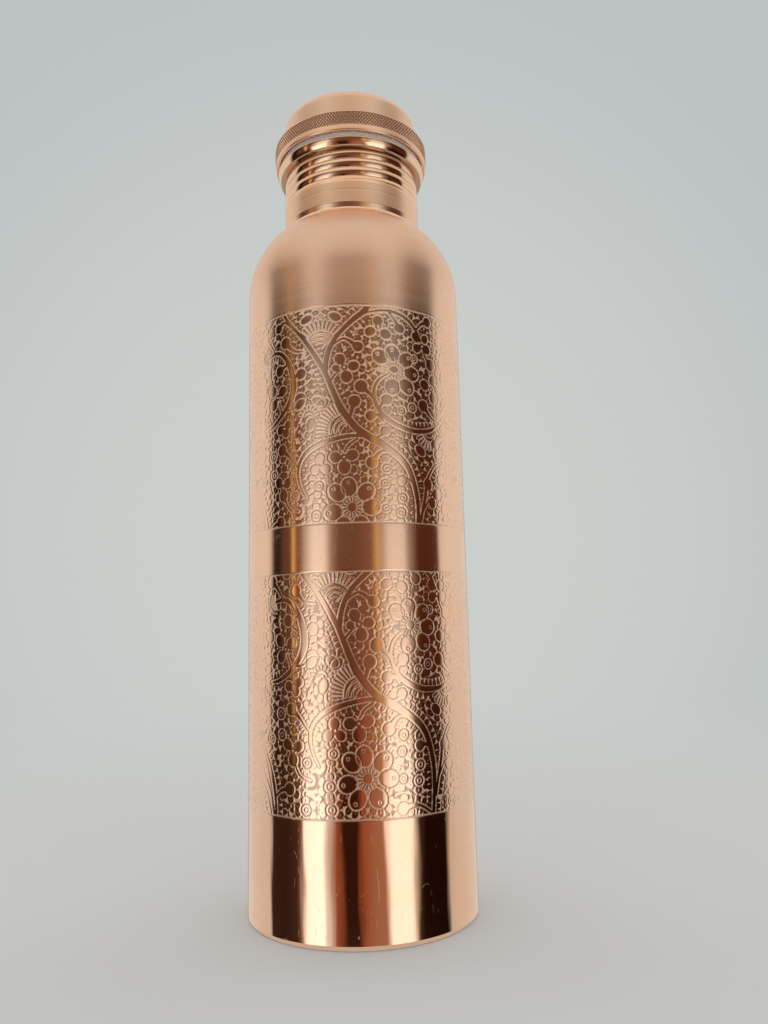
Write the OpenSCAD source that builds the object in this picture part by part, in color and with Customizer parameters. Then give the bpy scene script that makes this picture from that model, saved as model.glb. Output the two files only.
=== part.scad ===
// Copper water bottle: a drawn copper body with a threaded neck ring and a screw-in lid.
// Millimetres. The origin is the centre of the foot ring on the table, and +Z points up.

/* [Body] */
// Outer diameter of the straight body wall
body_d = 73; // [70:0.5:78]
// Height from the table at which the shoulder starts
body_h = 203; // [150:1:240]
// Thickness of the copper sheet
sheet = 0.6; // [0.5:0.1:0.8]
// Outer radius of the turned bottom edge
foot_r = 1.6; // [1.2:0.1:2]
// Width of the flat hem that is folded in under the base
hem_w = 1.5; // [1:0.1:2.5]
// Radius of the shoulder's arc
shoulder_r = 28.5; // [27:0.5:30]
// Radius of the cove between the shoulder and the neck
cove_r = 2.5; // [2:0.1:3]

/* [Base] */
// Height of the recess under the base disc
base_recess = 3.6; // [3:0.1:3.9]
// Diameter of the raised panel pressed into the base disc
base_panel_d = 50; // [30:1:60]
// Rise of that panel
base_panel_rise = 1; // [0.5:0.1:2]

/* [Neck] */
// Outer diameter of the neck
neck_d = 47.6; // [47:0.1:48]
// Height of the seam between the body's collar and the neck
seam_z = 227.6; // [227.2:0.1:228]
// Length of the neck's lap inside the collar, below the seam
lap_len = 5.6; // [3:0.1:7]
// Height of the lower end of the rolled thread
thread_z = 238.2; // [236:0.1:239]
// Pitch of the thread
pitch = 3.2; // [3:0.05:3.4]
// Number of turns of the rolled thread
neck_turns = 3; // [2.75:0.25:3]
// Height of the mouth: the top of the rolled bead
mouth_z = 252; // [251.8:0.1:252.4]
// Radius of the wire edge in the rolled bead
bead_r = 1.65; // [1.5:0.05:1.65]

/* [Lid] */
// Outer diameter of the knurled flange
flange_d = 54.7; // [54:0.1:57]
// Diameter of the plain band below the knurl
band_d = 54.3; // [53.8:0.1:54.5]
// Height of the flange's top face
flange_top = 260.4; // [260:0.1:262]
// Height of the knurl's lower edge
knurl_z = 255.5; // [255.2:0.1:256]
// Outer diameter of the crown
crown_d = 47.2; // [46:0.1:48]
// Height of the crown's top
crown_top = 271.8; // [269:0.1:276]
// Radius of the crown's top edge
crown_edge = 3.2; // [2:0.1:5]
// Outer diameter of the plug below its thread
plug_d = 43.8; // [43.6:0.1:44]
// Height of the plug's lower end
plug_z = 238.5; // [237:0.1:240]
// Number of turns of the plug's thread
plug_turns = 2.5; // [2:0.25:2.75]

/* [Gasket] */
// Thickness of the silicone gasket
gasket_t = 2.2; // [2:0.1:2.4]
// Outer diameter of the gasket
gasket_d = 52.3; // [52:0.1:52.6]
// Inner diameter of the gasket
gasket_bore = 44.6; // [44.4:0.1:45]

/* [Hidden] */
$fn = 128;
eps = 0.01;
body_r = body_d / 2;
neck_r = neck_d / 2;
inner_r = body_r - sheet;
// Centre of the shoulder's arc, as a radius from the axis
shoulder_x = body_r - shoulder_r;
// Centre of the cove: tangent to the neck and to the shoulder's arc
cove_x = neck_r + cove_r;
cove_z = body_h + sqrt(pow(shoulder_r + cove_r, 2) - pow(cove_x - shoulder_x, 2));
base_z = base_recess + sheet;
// The rolled thread stands between these radii
root_r = neck_r - 0.4;
bore_r = root_r - 0.5;
ridge_in_r = bore_r - 0.5;
// The plain neck wall ends just below the thread, and the bead sits on the threaded wall
plain_top = thread_z - 0.7;
bead_x = bore_r + bead_r;
bead_low = mouth_z - 3.4;
pocket_r = gasket_d / 2 + 0.15;
pocket_top = mouth_z + gasket_t;
// The flange's web holds the plug below it and the crown above it
web_top = pocket_top + 3.8;
lip_z = mouth_z + 1.2;
crown_r = crown_d / 2;
plug_r = plug_d / 2;
plug_crest_r = ridge_in_r + 0.3;
plug_thread_z = thread_z + pitch;
copper = [0.82, 0.56, 0.43];
polished = [0.86, 0.55, 0.38];
silicone = [0.86, 0.83, 0.82];

// A screw ridge round the Z axis: wide at its root, narrow at its crest, and running out
// into the wall at both ends. step_r is how far the ridge stands off its root radius.
module ridge(root, step_r, z0, turns, phase = 0, half_root = 0.9, half_crest = 0.35) {
    per_turn = 36;
    n = round(turns * per_turn);
    fade = 6;
    function grow(i) = min(1, 0.2 + 0.8 * min(i, n - i) / fade);
    function ring(i) = let (
            a = phase + 360 * i / per_turn,
            z = z0 + pitch * i / per_turn,
            crest = root + step_r * grow(i))
        [for (p = [[root, -half_root], [crest, -half_crest], [crest, half_crest], [root, half_root]])
            [p[0] * cos(a), p[0] * sin(a), z + p[1]]];
    points = [for (i = [0:n]) each ring(i)];
    walls = [for (i = [0:n - 1]) for (k = [0:3])
        let (a = 4 * i + k, b = 4 * i + (k + 1) % 4) each [[a, b, b + 4], [a, b + 4, a + 4]]];
    ends = [[3, 2, 1, 0], [4 * n, 4 * n + 1, 4 * n + 2, 4 * n + 3]];
    flip = step_r > 0;
    faces = concat(walls, ends);
    polyhedron(points, flip ? faces : [for (f = faces) [for (k = [len(f) - 1:-1:0]) f[k]]], convexity = 8);
}

// The space inside a bottle wall that is set in by t from the outside
module bottle_fill(t) {
    r = body_r - t;
    corner = max(foot_r - t, eps);
    translate([0, foot_r]) square([r, body_h - foot_r]);
    translate([0, t]) square([r - corner, foot_r]);
    translate([r - corner, t + corner]) circle(corner);
    intersection() {
        union() {
            translate([shoulder_x, body_h]) circle(shoulder_r - t);
            translate([0, body_h]) square([shoulder_x, shoulder_r - t]);
        }
        translate([0, body_h - eps]) square([body_r, seam_z - body_h + eps]);
    }
    translate([0, body_h]) square([neck_r - t, seam_z - body_h]);
}

module cove_2d() {
    difference() {
        translate([neck_r - eps, body_h]) square([cove_x - neck_r, seam_z - body_h]);
        translate([cove_x, cove_z]) circle(cove_r);
        translate([neck_r, cove_z - cove_r * 4]) square([cove_x, cove_r * 2]);
        translate([cove_x - cove_r * 0.55, 0]) square([cove_x, seam_z]);
    }
}

// Drawn body: straight wall, shoulder, short collar, and a hem folded in under the base
module body_shell() {
    color(copper) rotate_extrude() {
        difference() {
            union() {
                bottle_fill(0);
                cove_2d();
            }
            bottle_fill(sheet);
            translate([0, -eps]) square([body_r - foot_r - hem_w, sheet + 2 * eps]);
            translate([0, seam_z - 1]) square([neck_r - sheet, 2]);
        }
    }
}

// Pressed base: a skirt that stands on the hem, and a disc with a raised panel
module base_disc() {
    panel_r = base_panel_d / 2;
    color(copper) rotate_extrude() polygon([
        [0, base_recess + base_panel_rise],
        [panel_r, base_recess + base_panel_rise],
        [panel_r + 1.5, base_recess],
        [inner_r - sheet, base_recess],
        [inner_r - sheet, sheet + foot_r],
        [inner_r, sheet + foot_r],
        [inner_r, base_z],
        [panel_r + 1.5, base_z],
        [panel_r, base_z + base_panel_rise],
        [0, base_z + base_panel_rise]]);
}

// Neck: a lap inside the collar, a plain wall, the rolled thread and the beaded mouth
module neck_sleeve() {
    color(polished) union() {
        rotate_extrude() {
            translate([neck_r - 2 * sheet, seam_z - lap_len]) square([sheet, lap_len + 2]);
            translate([neck_r - sheet, seam_z]) square([sheet, plain_top - seam_z]);
            translate([bore_r, plain_top - sheet]) square([neck_r - bore_r, sheet]);
            translate([bore_r, plain_top]) square([root_r - bore_r, bead_low - plain_top + bead_r]);
            translate([bead_x, bead_low + bead_r]) circle(bead_r);
            translate([bead_x, mouth_z - bead_r]) circle(bead_r);
            translate([bore_r, bead_low + bead_r]) square([2 * bead_r, mouth_z - bead_low - 2 * bead_r]);
        }
        ridge(root_r - 0.2, neck_r - root_r + 0.2, thread_z + 0.5, neck_turns);
        ridge(bore_r + 0.2, ridge_in_r - bore_r - 0.2, thread_z + 0.5 + pitch / 2, neck_turns - 0.5);
    }
}

// Flat silicone ring between the mouth and the lid
module gasket() {
    color(silicone) translate([0, 0, mouth_z]) difference() {
        cylinder(d = gasket_d, h = gasket_t);
        translate([0, 0, -1]) cylinder(d = gasket_bore, h = gasket_t + 2);
    }
}

// Turned ring with the knurled grip: it holds the gasket, the crown and the plug
module knurled_flange() {
    edge = 0.5;
    color(polished) rotate_extrude() difference() {
        union() {
            translate([0, knurl_z]) square([flange_d / 2, flange_top - knurl_z - edge]);
            translate([0, knurl_z]) square([flange_d / 2 - edge, flange_top - knurl_z]);
            translate([flange_d / 2 - edge, flange_top - edge]) circle(edge);
            translate([0, lip_z + edge]) square([band_d / 2, knurl_z - lip_z]);
            translate([0, lip_z]) square([band_d / 2 - edge, edge * 2]);
            translate([band_d / 2 - edge, lip_z + edge]) circle(edge);
        }
        translate([0, lip_z - 1]) square([pocket_r, pocket_top - lip_z + 1]);
        translate([0, lip_z]) square([plug_r, flange_top]);
        translate([0, web_top]) square([crown_r, flange_top]);
    }
}

// Spun cup that closes the lid: its skirt stands in the flange
module lid_crown() {
    wall = 0.7;
    color(copper) rotate_extrude() difference() {
        union() {
            translate([0, web_top]) square([crown_r, crown_top - crown_edge - web_top]);
            translate([0, web_top]) square([crown_r - crown_edge, crown_top - web_top]);
            translate([crown_r - crown_edge, crown_top - crown_edge]) circle(crown_edge);
        }
        translate([0, web_top - 1]) square([crown_r - wall, crown_top - crown_edge - web_top + 1]);
        translate([0, web_top - 1]) square([crown_r - crown_edge, crown_top - web_top + 1 - wall]);
        translate([crown_r - crown_edge, crown_top - crown_edge]) circle(crown_edge - wall);
    }
}

// Threaded sleeve that screws into the neck
module plug_sleeve() {
    wall = 0.7;
    color(polished) union() {
        translate([0, 0, plug_z]) difference() {
            cylinder(r = plug_r, h = web_top - plug_z);
            translate([0, 0, -1]) cylinder(r = plug_r - wall, h = web_top - plug_z + 2);
        }
        ridge(plug_r - 0.2, plug_crest_r - plug_r + 0.2, plug_thread_z + 0.5, plug_turns);
    }
}

// Dished disc brazed into the plug's lower end
module plug_end() {
    wall = 0.6;
    r = plug_r - 0.7;
    color(copper) translate([0, 0, plug_z]) difference() {
        cylinder(r = r, h = 3.5);
        translate([0, 0, wall]) cylinder(r = r - wall, h = 4);
    }
}

body_shell();
base_disc();
neck_sleeve();
gasket();
knurled_flange();
lid_crown();
plug_sleeve();
plug_end();
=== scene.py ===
"""Looks of a copper water bottle: engraved body, threaded neck, knurled screw-in lid and silicone gasket.

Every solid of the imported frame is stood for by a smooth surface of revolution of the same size. The
relief of the engraved bands, the knurl and the screw threads are real geometry. All shapes are worked
out in millimetres and put into the meshes in metres.
"""
import logging
import math
from dataclasses import dataclass, field
from enum import Enum
from typing import Optional, Sequence

import bpy
import numpy as np
from mathutils import Matrix, Vector


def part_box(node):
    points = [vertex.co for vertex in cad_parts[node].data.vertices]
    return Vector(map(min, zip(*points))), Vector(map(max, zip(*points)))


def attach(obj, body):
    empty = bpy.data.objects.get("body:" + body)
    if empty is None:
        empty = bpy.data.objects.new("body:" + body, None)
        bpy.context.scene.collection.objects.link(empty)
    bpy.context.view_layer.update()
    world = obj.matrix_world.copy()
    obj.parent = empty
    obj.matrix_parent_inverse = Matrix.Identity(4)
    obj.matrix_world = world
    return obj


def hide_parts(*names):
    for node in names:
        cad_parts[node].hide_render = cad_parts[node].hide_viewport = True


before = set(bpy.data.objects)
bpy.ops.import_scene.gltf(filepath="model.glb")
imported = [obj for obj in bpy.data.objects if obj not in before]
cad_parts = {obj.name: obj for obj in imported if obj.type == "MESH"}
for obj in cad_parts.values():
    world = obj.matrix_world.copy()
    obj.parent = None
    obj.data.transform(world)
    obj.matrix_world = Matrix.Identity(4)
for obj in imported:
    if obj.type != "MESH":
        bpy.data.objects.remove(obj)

LOG = logging.getLogger("bottle")
MM = 0.001
TAU = 2 * math.pi
FAR = 99.0

Array = np.ndarray
Color = tuple[float, float, float]
Point = tuple[float, float]


class Body(str, Enum):
    """The rigid bodies that the pieces ride on."""

    BOTTLE = "bottle"
    SEAL = "seal"
    LID = "lid"


# ---------------------------------------------------------------- measures


@dataclass(frozen=True)
class Measures:
    """Sizes in millimetres, read from the boxes of the frame's nodes.

    Args:
        sheet: Thickness of the copper sheet.
        foot_r: Outer radius of the turned bottom edge.
        hem: Width of the flat hem under the base.
        shoulder_r: Radius of the shoulder's arc.
        shoulder_z: Height at which the shoulder starts.
        cove_r: Radius of the cove between the shoulder and the neck.
        neck_r: Outer radius of the neck.
        plug_r: Outer radius of the plug's wall.
        pocket_r: Radius of the pocket in the flange that holds the gasket.
        pitch: Pitch of the screw thread.
        thread_z: Height of the middle of the neck thread's first ridge.
        neck_turns: Turns of the neck's outer ridge.
        plug_thread_z: Height of the middle of the plug thread's first ridge.
        plug_turns: Turns of the plug's ridge.
    """

    sheet: float = 0.6
    foot_r: float = 1.6
    hem: float = 1.5
    shoulder_r: float = 28.5
    shoulder_z: float = 203.0
    cove_r: float = 2.5
    neck_r: float = 23.8
    plug_r: float = 21.9
    pocket_r: float = 26.3
    pitch: float = 3.2
    thread_z: float = 238.7
    neck_turns: float = 3.0
    plug_thread_z: float = 241.9
    plug_turns: float = 2.5

    @staticmethod
    def high(node: str, axis: int = 2) -> float:
        """The highest coordinate of a node along an axis, in millimetres."""
        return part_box(node)[1][axis] / MM

    @staticmethod
    def low(node: str, axis: int = 2) -> float:
        """The lowest coordinate of a node along an axis, in millimetres."""
        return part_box(node)[0][axis] / MM

    @property
    def body_r(self) -> float:
        """Outer radius of the body wall."""
        return self.high("body_shell", 0)

    @property
    def seam_z(self) -> float:
        """Height of the seam between the collar and the neck."""
        return self.high("body_shell")

    @property
    def mouth_z(self) -> float:
        """Height of the mouth's bead."""
        return self.high("neck_sleeve")


# ---------------------------------------------------------------- meshes


@dataclass
class Surface:
    """Points and faces of a mesh while it is worked out.

    Args:
        points: One row of x, y, z in millimetres for each vertex.
        faces: Arrays of vertex numbers, one row a face. Each array holds faces of one size.
        values: Named numbers, one for each vertex.
    """

    points: Array
    faces: list[Array]
    values: dict[str, Array] = field(default_factory=dict)

    def to_object(self, name: str, sharp_deg: float) -> bpy.types.Object:
        """Makes the object, smooth except along edges sharper than an angle.

        Args:
            name: Name of the object and its mesh.
            sharp_deg: Edges that turn by more than this stay crisp.

        Returns:
            The new object, linked to the scene, at the origin.
        """
        mesh = bpy.data.meshes.new(name)
        loops = np.concatenate([f.ravel() for f in self.faces]).astype(np.int32)
        counts = np.concatenate([np.full(len(f), f.shape[1]) for f in self.faces])
        starts = np.concatenate([[0], np.cumsum(counts)[:-1]]).astype(np.int32)
        mesh.vertices.add(len(self.points))
        mesh.vertices.foreach_set("co", (self.points * MM).astype(np.float32).ravel())
        mesh.loops.add(len(loops))
        mesh.loops.foreach_set("vertex_index", loops)
        mesh.polygons.add(len(counts))
        mesh.polygons.foreach_set("loop_start", starts)
        mesh.update(calc_edges=True)
        mesh.validate()
        mesh.set_sharp_from_angle(angle=math.radians(sharp_deg))
        for key, value in self.values.items():
            layer = mesh.attributes.new(key, "FLOAT", "POINT")
            layer.data.foreach_set("value", value.astype(np.float32).ravel())
        obj = bpy.data.objects.new(name, mesh)
        bpy.context.scene.collection.objects.link(obj)
        return obj


def arc(centre: Point, radius: float, start_deg: float, end_deg: float, step: float = 0.25) -> Array:
    """Points of an arc: the centre plus the radius times (cosine, sine) of evenly spaced angles.

    Args:
        centre: Centre as (radius from the axis, height).
        radius: Radius of the arc.
        start_deg: First angle.
        end_deg: Last angle.
        step: Largest distance between points.

    Returns:
        Rows of (radius, height).
    """
    length = abs(math.radians(end_deg - start_deg)) * radius
    angle = np.radians(np.linspace(start_deg, end_deg, max(4, math.ceil(length / step) + 1)))
    return np.stack([centre[0] + radius * np.cos(angle), centre[1] + radius * np.sin(angle)], 1)


def rule(start: Point, end: Point, step: float = 1e9) -> Array:
    """Points of a straight line: the start plus even fractions of the way to the end.

    Args:
        start: First point.
        end: Last point.
        step: Largest distance between points.

    Returns:
        Rows of (radius, height).
    """
    count = max(2, math.ceil(math.dist(start, end) / step) + 1)
    part = np.linspace(0, 1, count)[:, None]
    return np.asarray(start) * (1 - part) + np.asarray(end) * part


def join(*parts: Array) -> Array:
    """One outline from several, without the points that two of them share."""
    path = np.vstack(parts)
    keep = np.r_[True, np.hypot(*np.diff(path, axis=0).T) > 1e-6]
    return path[keep]


def round_angles(columns: int) -> Array:
    """Even angles round the axis, from the front (-Y) towards +X."""
    return np.arange(columns) * TAU / columns


def turn(outline: Array, columns: int, relief: Optional[Array] = None) -> Surface:
    """Turns an outline about the Z axis.

    Each point of the outline gives a ring: x is the radius times the sine of the angle, y is minus the
    radius times its cosine. An outline that starts and ends on the axis is closed by two poles, and any
    other outline by joining its last ring to its first. The outline runs up outside and down inside.

    Args:
        outline: Rows of (radius, height).
        columns: Number of points round a ring.
        relief: Distance to add to the radius, one row for each ring.

    Returns:
        A closed surface.
    """
    poles = outline[0, 0] < 1e-6 and outline[-1, 0] < 1e-6
    rings = outline[1:-1] if poles else outline
    angle = round_angles(columns)
    radius = rings[:, :1] + (relief if relief is not None else 0.0)
    radius = np.broadcast_to(radius, (len(rings), columns))
    height = np.broadcast_to(rings[:, 1:], radius.shape)
    points = np.stack([radius * np.sin(angle), -radius * np.cos(angle), height], -1).reshape(-1, 3)
    number = np.arange(points.shape[0]).reshape(len(rings), columns)
    beside = np.roll(number, -1, axis=1)
    low, high = (slice(None, -1), slice(1, None)) if poles else (slice(None), None)
    upper = number[high] if poles else np.roll(number, -1, axis=0)
    upper_beside = beside[high] if poles else np.roll(beside, -1, axis=0)
    faces = [np.stack([number[low], beside[low], upper_beside, upper], -1).reshape(-1, 4)]
    if poles:
        first, last = len(points), len(points) + 1
        points = np.vstack([points, [[0, 0, outline[0, 1]], [0, 0, outline[-1, 1]]]])
        faces.append(np.stack([np.full(columns, first), beside[0], number[0]], -1))
        faces.append(np.stack([np.full(columns, last), number[-1], beside[-1]], -1))
    return Surface(points, faces)


def smooth_step(low: float, high: float, value: Array) -> Array:
    """0 below low, 1 above high, and 3t^2 - 2t^3 between them."""
    part = np.clip((value - low) / (high - low), 0, 1)
    return part * part * (3 - 2 * part)


def screw_ridge(height: Array, columns: int, start_z: float, pitch: float, turns: float,
                lower: float = 0.5, power: float = 2.2) -> Array:
    """How far a right-handed screw ridge stands out, from 0 to 1.

    The ridge's crest rises by one pitch a turn from its start on the +X side. Each flank falls from 1
    at the crest to 0 at the valley by the power of its share, and at both ends the ridge fades out
    along the helix.

    Args:
        height: Heights of the rings.
        columns: Number of points round a ring.
        start_z: Height of the ridge's middle where it starts.
        pitch: Rise in one turn.
        turns: Length of the ridge in turns.
        lower: Share of the pitch that the flank below the crest takes.
        power: How full the ridge is; at 1 it is a plain V.

    Returns:
        One row for each ring.
    """
    angle = (round_angles(columns) - TAU / 4) % TAU
    phase = (height[:, None] - start_z) / pitch - angle[None, :] / TAU
    nearest = np.round(phase)
    along = nearest + angle[None, :] / TAU
    above = (phase - nearest) % 1.0
    flank = np.where(above < 1 - lower, above / (1 - lower), (1 - above) / lower)
    across = 1 - flank**power
    return across * smooth_step(-0.02, 0.14, along) * smooth_step(-0.02, 0.14, turns - along)


# ---------------------------------------------------------------- engraving


@dataclass(frozen=True)
class Stroke:
    """A raised vine: a smooth line through points, with a width that swells in the middle.

    Args:
        path: Points in millimetres on the unrolled band.
        start: Half the width at the first point.
        middle: Half the width half way.
        end: Half the width at the last point.
    """

    path: Sequence[Point]
    start: float = 0.4
    middle: float = 0.8
    end: float = 0.4


@dataclass(frozen=True)
class Lobe:
    """A raised round or oval lobe.

    Args:
        x: Middle, along the band.
        v: Middle, up the band.
        long: Half its length.
        wide: Half its width, or 0 for a round one.
        tilt: Angle of its length, in degrees.
    """

    x: float
    v: float
    long: float
    wide: float = 0.0
    tilt: float = 0.0


def spline(points: Sequence[Point], step: float = 0.8) -> Array:
    """A Catmull-Rom curve: cubic pieces whose tangents are half the chord between the two neighbours.

    Args:
        points: The points that the curve passes through.
        step: Rough distance between the points returned.

    Returns:
        Rows of (x, v).
    """
    p = np.asarray(points, float)
    if len(p) < 3:
        return p
    p = np.vstack([2 * p[0] - p[1], p, 2 * p[-1] - p[-2]])
    out = []
    for a, b, c, d in zip(p[:-3], p[1:-2], p[2:-1], p[3:]):
        count = max(2, math.ceil(float(np.hypot(*(c - b))) / step))
        t = (np.arange(count) / count)[:, None]
        out.append(0.5 * (2 * b + (c - a) * t + (2 * a - 5 * b + 4 * c - d) * t**2
                          + (3 * b - a - 3 * c + d) * t**3))
    return np.vstack([*out, p[-2:-1]])


def polar(x: float, v: float, radius: float, angle: float) -> Point:
    """A point at a radius and an angle, in radians, from a centre."""
    return x + radius * math.cos(angle), v + radius * math.sin(angle)


def circle(x: float, v: float, radius: float, sides: int) -> list[Point]:
    """Points round a circle, with the first repeated at the end."""
    return [polar(x, v, radius, a) for a in np.radians(np.linspace(0, 360, sides + 1))]


@dataclass
class Engraving:
    """A repeat of the floral design, drawn as distances on a grid.

    Each raised shape gives a signed distance to its outline, negative inside, and the distance along
    that outline. The nearest shape wins at each point. Cut lines are kept apart, because they are
    engraved across raised shapes.

    Args:
        x: Position along the band of each grid point, within one repeat.
        v: Position up the band of each grid point.
        repeat: Length of one repeat.
        reach: How far from its outline a raised shape is measured.
        line: Half the width of a cut line.
    """

    x: Array
    v: Array
    repeat: float
    reach: float = 6.5
    line: float = 0.1

    def __post_init__(self) -> None:
        """Starts with an empty band, where every shape is far away."""
        self.gap = np.full(self.x.shape, FAR, np.float32)
        self.along = np.zeros(self.x.shape, np.float32)
        self.cut = np.full(self.x.shape, FAR, np.float32)

    def _window(self, low: Array, high: Array, reach: float) -> list[tuple[tuple[slice, slice], float]]:
        """The grid windows round a box, for each repeat that reaches this grid.

        Args:
            low: Lowest corner of the box.
            high: Highest corner of the box.
            reach: How far past the box to go.

        Returns:
            Pairs of a window and the shift of its repeat.
        """
        found = []
        across, up = self.x[0], self.v[:, 0]
        for shift in (-self.repeat, 0.0, self.repeat):
            columns = np.flatnonzero((across > low[0] + shift - reach) & (across < high[0] + shift + reach))
            rows = np.flatnonzero((up > low[1] - reach) & (up < high[1] + reach))
            if len(columns) and len(rows):
                found.append(((slice(rows[0], rows[-1] + 1), slice(columns[0], columns[-1] + 1)), shift))
        return found

    @staticmethod
    def _from_line(x: Array, v: Array, path: Array, half: Array) -> tuple[Array, Array]:
        """Distance to a tapered line, and the distance along it: the least over its straight pieces.

        Args:
            x: Places along the band.
            v: Places up the band.
            path: Points of the line.
            half: Half the width at each point.

        Returns:
            The two distances, on the grid of x and v.
        """
        best = np.full(x.shape, FAR, np.float32)
        where = np.zeros(x.shape, np.float32)
        run = 0.0
        for a, b, ra, rb in zip(path[:-1], path[1:], half[:-1], half[1:]):
            d = b - a
            length = float(np.hypot(*d)) or 1e-6
            t = np.clip(((x - a[0]) * d[0] + (v - a[1]) * d[1]) / length**2, 0, 1)
            gap = np.hypot(x - a[0] - t * d[0], v - a[1] - t * d[1]) - (ra + t * (rb - ra))
            near = gap < best
            best = np.where(near, gap, best)
            where = np.where(near, run + t * length, where)
            run += length
        return best, where

    def _keep(self, window: tuple[slice, slice], gap: Array, along: Array) -> None:
        """Takes a shape's distances where it is the nearest."""
        near = gap < self.gap[window]
        self.along[window] = np.where(near, along, self.along[window])
        self.gap[window] = np.where(near, gap, self.gap[window])

    def stroke(self, s: Stroke) -> None:
        """Adds a raised vine.

        Args:
            s: The vine.
        """
        path = spline(s.path)
        part = np.linspace(0, 1, len(path))
        half = np.interp(part, [0, 0.5, 1], [s.start, s.middle, s.end])
        for window, shift in self._window(path.min(0), path.max(0), self.reach):
            gap, along = self._from_line(self.x[window] - shift, self.v[window], path, half)
            self._keep(window, gap, along)

    def lobe(self, b: Lobe, outlined: bool = False) -> None:
        """Adds a raised lobe: the distance is the oval's scaled radius less one, times its half width.

        Args:
            b: The lobe.
            outlined: Whether a line is cut along its outline.
        """
        wide = b.wide or b.long
        c, s = math.cos(math.radians(b.tilt)), math.sin(math.radians(b.tilt))
        middle = np.array([b.x, b.v])
        for window, shift in self._window(middle - b.long, middle + b.long, self.reach):
            dx, dv = self.x[window] - shift - b.x, self.v[window] - b.v
            u, w = (dx * c + dv * s) / b.long, (dv * c - dx * s) / wide
            radius = np.hypot(u, w)
            gap = (radius - 1) * np.where(radius > 1, (b.long + wide) / 2, wide)
            if outlined:
                self.cut[window] = np.minimum(self.cut[window], np.abs(gap) - self.line)
            self._keep(window, gap, np.arctan2(w, u) * (b.long + wide) / 2)

    def score(self, path: Sequence[Point], half: Optional[float] = None) -> None:
        """Cuts a thin line through points.

        Args:
            path: Points that the line passes through.
            half: Half its width, if not the usual one.
        """
        line = spline(path)
        widths = np.full(len(line), half or self.line)
        for window, shift in self._window(line.min(0), line.max(0), 1.0):
            gap, _ = self._from_line(self.x[window] - shift, self.v[window], line, widths)
            self.cut[window] = np.minimum(self.cut[window], gap)

    def ring(self, x: float, v: float, radius: float) -> None:
        """Cuts a small circle."""
        self.score(circle(x, v, radius, 12), 0.09)

    def bud(self, x: float, v: float, radius: float, *stem: Point) -> None:
        """Adds a round bud on a stem that is thin where it leaves the vine."""
        self.lobe(Lobe(x, v, radius * 1.15))
        if stem:
            self.stroke(Stroke([*stem, (x, v)], 0.35, 0.5, 0.9))

    def clover(self, x: float, v: float, *lobes: tuple[float, float, float]) -> None:
        """Adds a small flower: round lobes about a centre with an engraved eye.

        Args:
            x: Centre, along the band.
            v: Centre, up the band.
            lobes: Place and radius of each lobe, from the centre.
        """
        self.lobe(Lobe(x, v, 1.1))
        for dx, dv, radius in lobes:
            self.lobe(Lobe(x + dx * 1.08, v + dv * 1.08, radius * 1.2, radius * 1.08,
                           math.degrees(math.atan2(dv, dx))))
        self.score([(x, v), (x + 0.05, v)], 0.32)

    def flower(self, x: float, v: float, disc: float, petals: Sequence[Point], size: Point) -> None:
        """Adds a large flower: petals about a disc, stamens between them, and a small eye on each petal.

        Args:
            x: Centre, along the band.
            v: Centre, up the band.
            disc: Radius of the disc.
            petals: Middle of each petal, from the centre.
            size: Half the length and half the width of a petal.
        """
        for dx, dv in petals:
            self.lobe(Lobe(x + dx, v + dv, size[0], size[1], math.degrees(math.atan2(dv, dx))), True)
        stamens, stamen_r, cut_r = 15, 3.1, 3.7
        for k in range(stamens):
            a = TAU * k / stamens
            self.stroke(Stroke([polar(x, v, disc, a), polar(x, v, stamen_r, a)], 0.3, 0.28, 0.24))
            a += TAU / stamens / 2
            self.score([polar(x, v, disc + 0.5, a), polar(x, v, cut_r, a)])
        for dx, dv in petals:
            self.ring(x + dx * 1.22, v + dv * 1.22, 0.5)
        self.lobe(Lobe(x, v, disc))
        self.score(circle(x, v, disc + 0.1, 24))

    def fan(self, x: float, v: float, inner: float, outer: float, start_deg: float, end_deg: float,
            rays: int) -> None:
        """Adds a palmette: nested arches with rays and round leaf tips.

        Args:
            x: Centre of the arches, along the band.
            v: Centre of the arches, up the band.
            inner: Radius of the outermost arch.
            outer: Radius at which the rays end.
            start_deg: First ray's angle.
            end_deg: Last ray's angle.
            rays: Number of rays.
        """
        arch_gap, ray_gap, tip_gap = 1.5, 0.95, 2.1

        def at(radius: float, degrees: float) -> Point:
            """A point at a radius and an angle from the fan's centre."""
            return polar(x, v, float(radius), math.radians(degrees))

        for radius in np.arange(inner, 0.9, -arch_gap):
            sweep = np.linspace(start_deg, end_deg, 9)
            self.stroke(Stroke([at(radius, a) for a in sweep], 0.25, 0.5, 0.25))
        for a in np.linspace(start_deg, end_deg, rays):
            self.stroke(Stroke([at(inner + ray_gap, a), at(outer, a)], 0.25, 0.3, 0.42))
        tips = max(2, rays // 4)
        for a in np.linspace(start_deg, end_deg, tips * 2 + 1)[1::2]:
            self.lobe(Lobe(*at(outer + tip_gap, a), 1.5, 2.2, float(a)), True)

    def ground(self) -> Array:
        """Height of the ground between the raised shapes, from 0 to 1.

        Rows of scales follow the outlines: across a row the local place is the distance from the
        outline, along it the distance along the outline. A scale is half a rounded oval that points
        away from the outline, with a thin vein up its middle.

        Returns:
            Heights on the grid.
        """
        first, deep, long, power = 0.25, 2.0, 1.8, 2.4
        row = np.floor((self.gap - first) / deep)
        rise = (self.gap - first) / deep - row
        side = 2 * ((self.along / long + 0.5 * row) % 1.0) - 1
        reach = ((np.abs(side) * 1.03) ** power + (rise * 1.02) ** power) ** (1 / power)
        scale = smooth_step(0.02, -0.09, (reach - 1) * long / 2)
        beyond = np.maximum(0, np.abs(rise - 0.4) - 0.2) * deep
        vein = smooth_step(0.0, 0.1, np.hypot(side * long / 2, beyond))
        return np.where(self.gap > first, scale * (0.45 + 0.55 * vein), 0.0)

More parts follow.
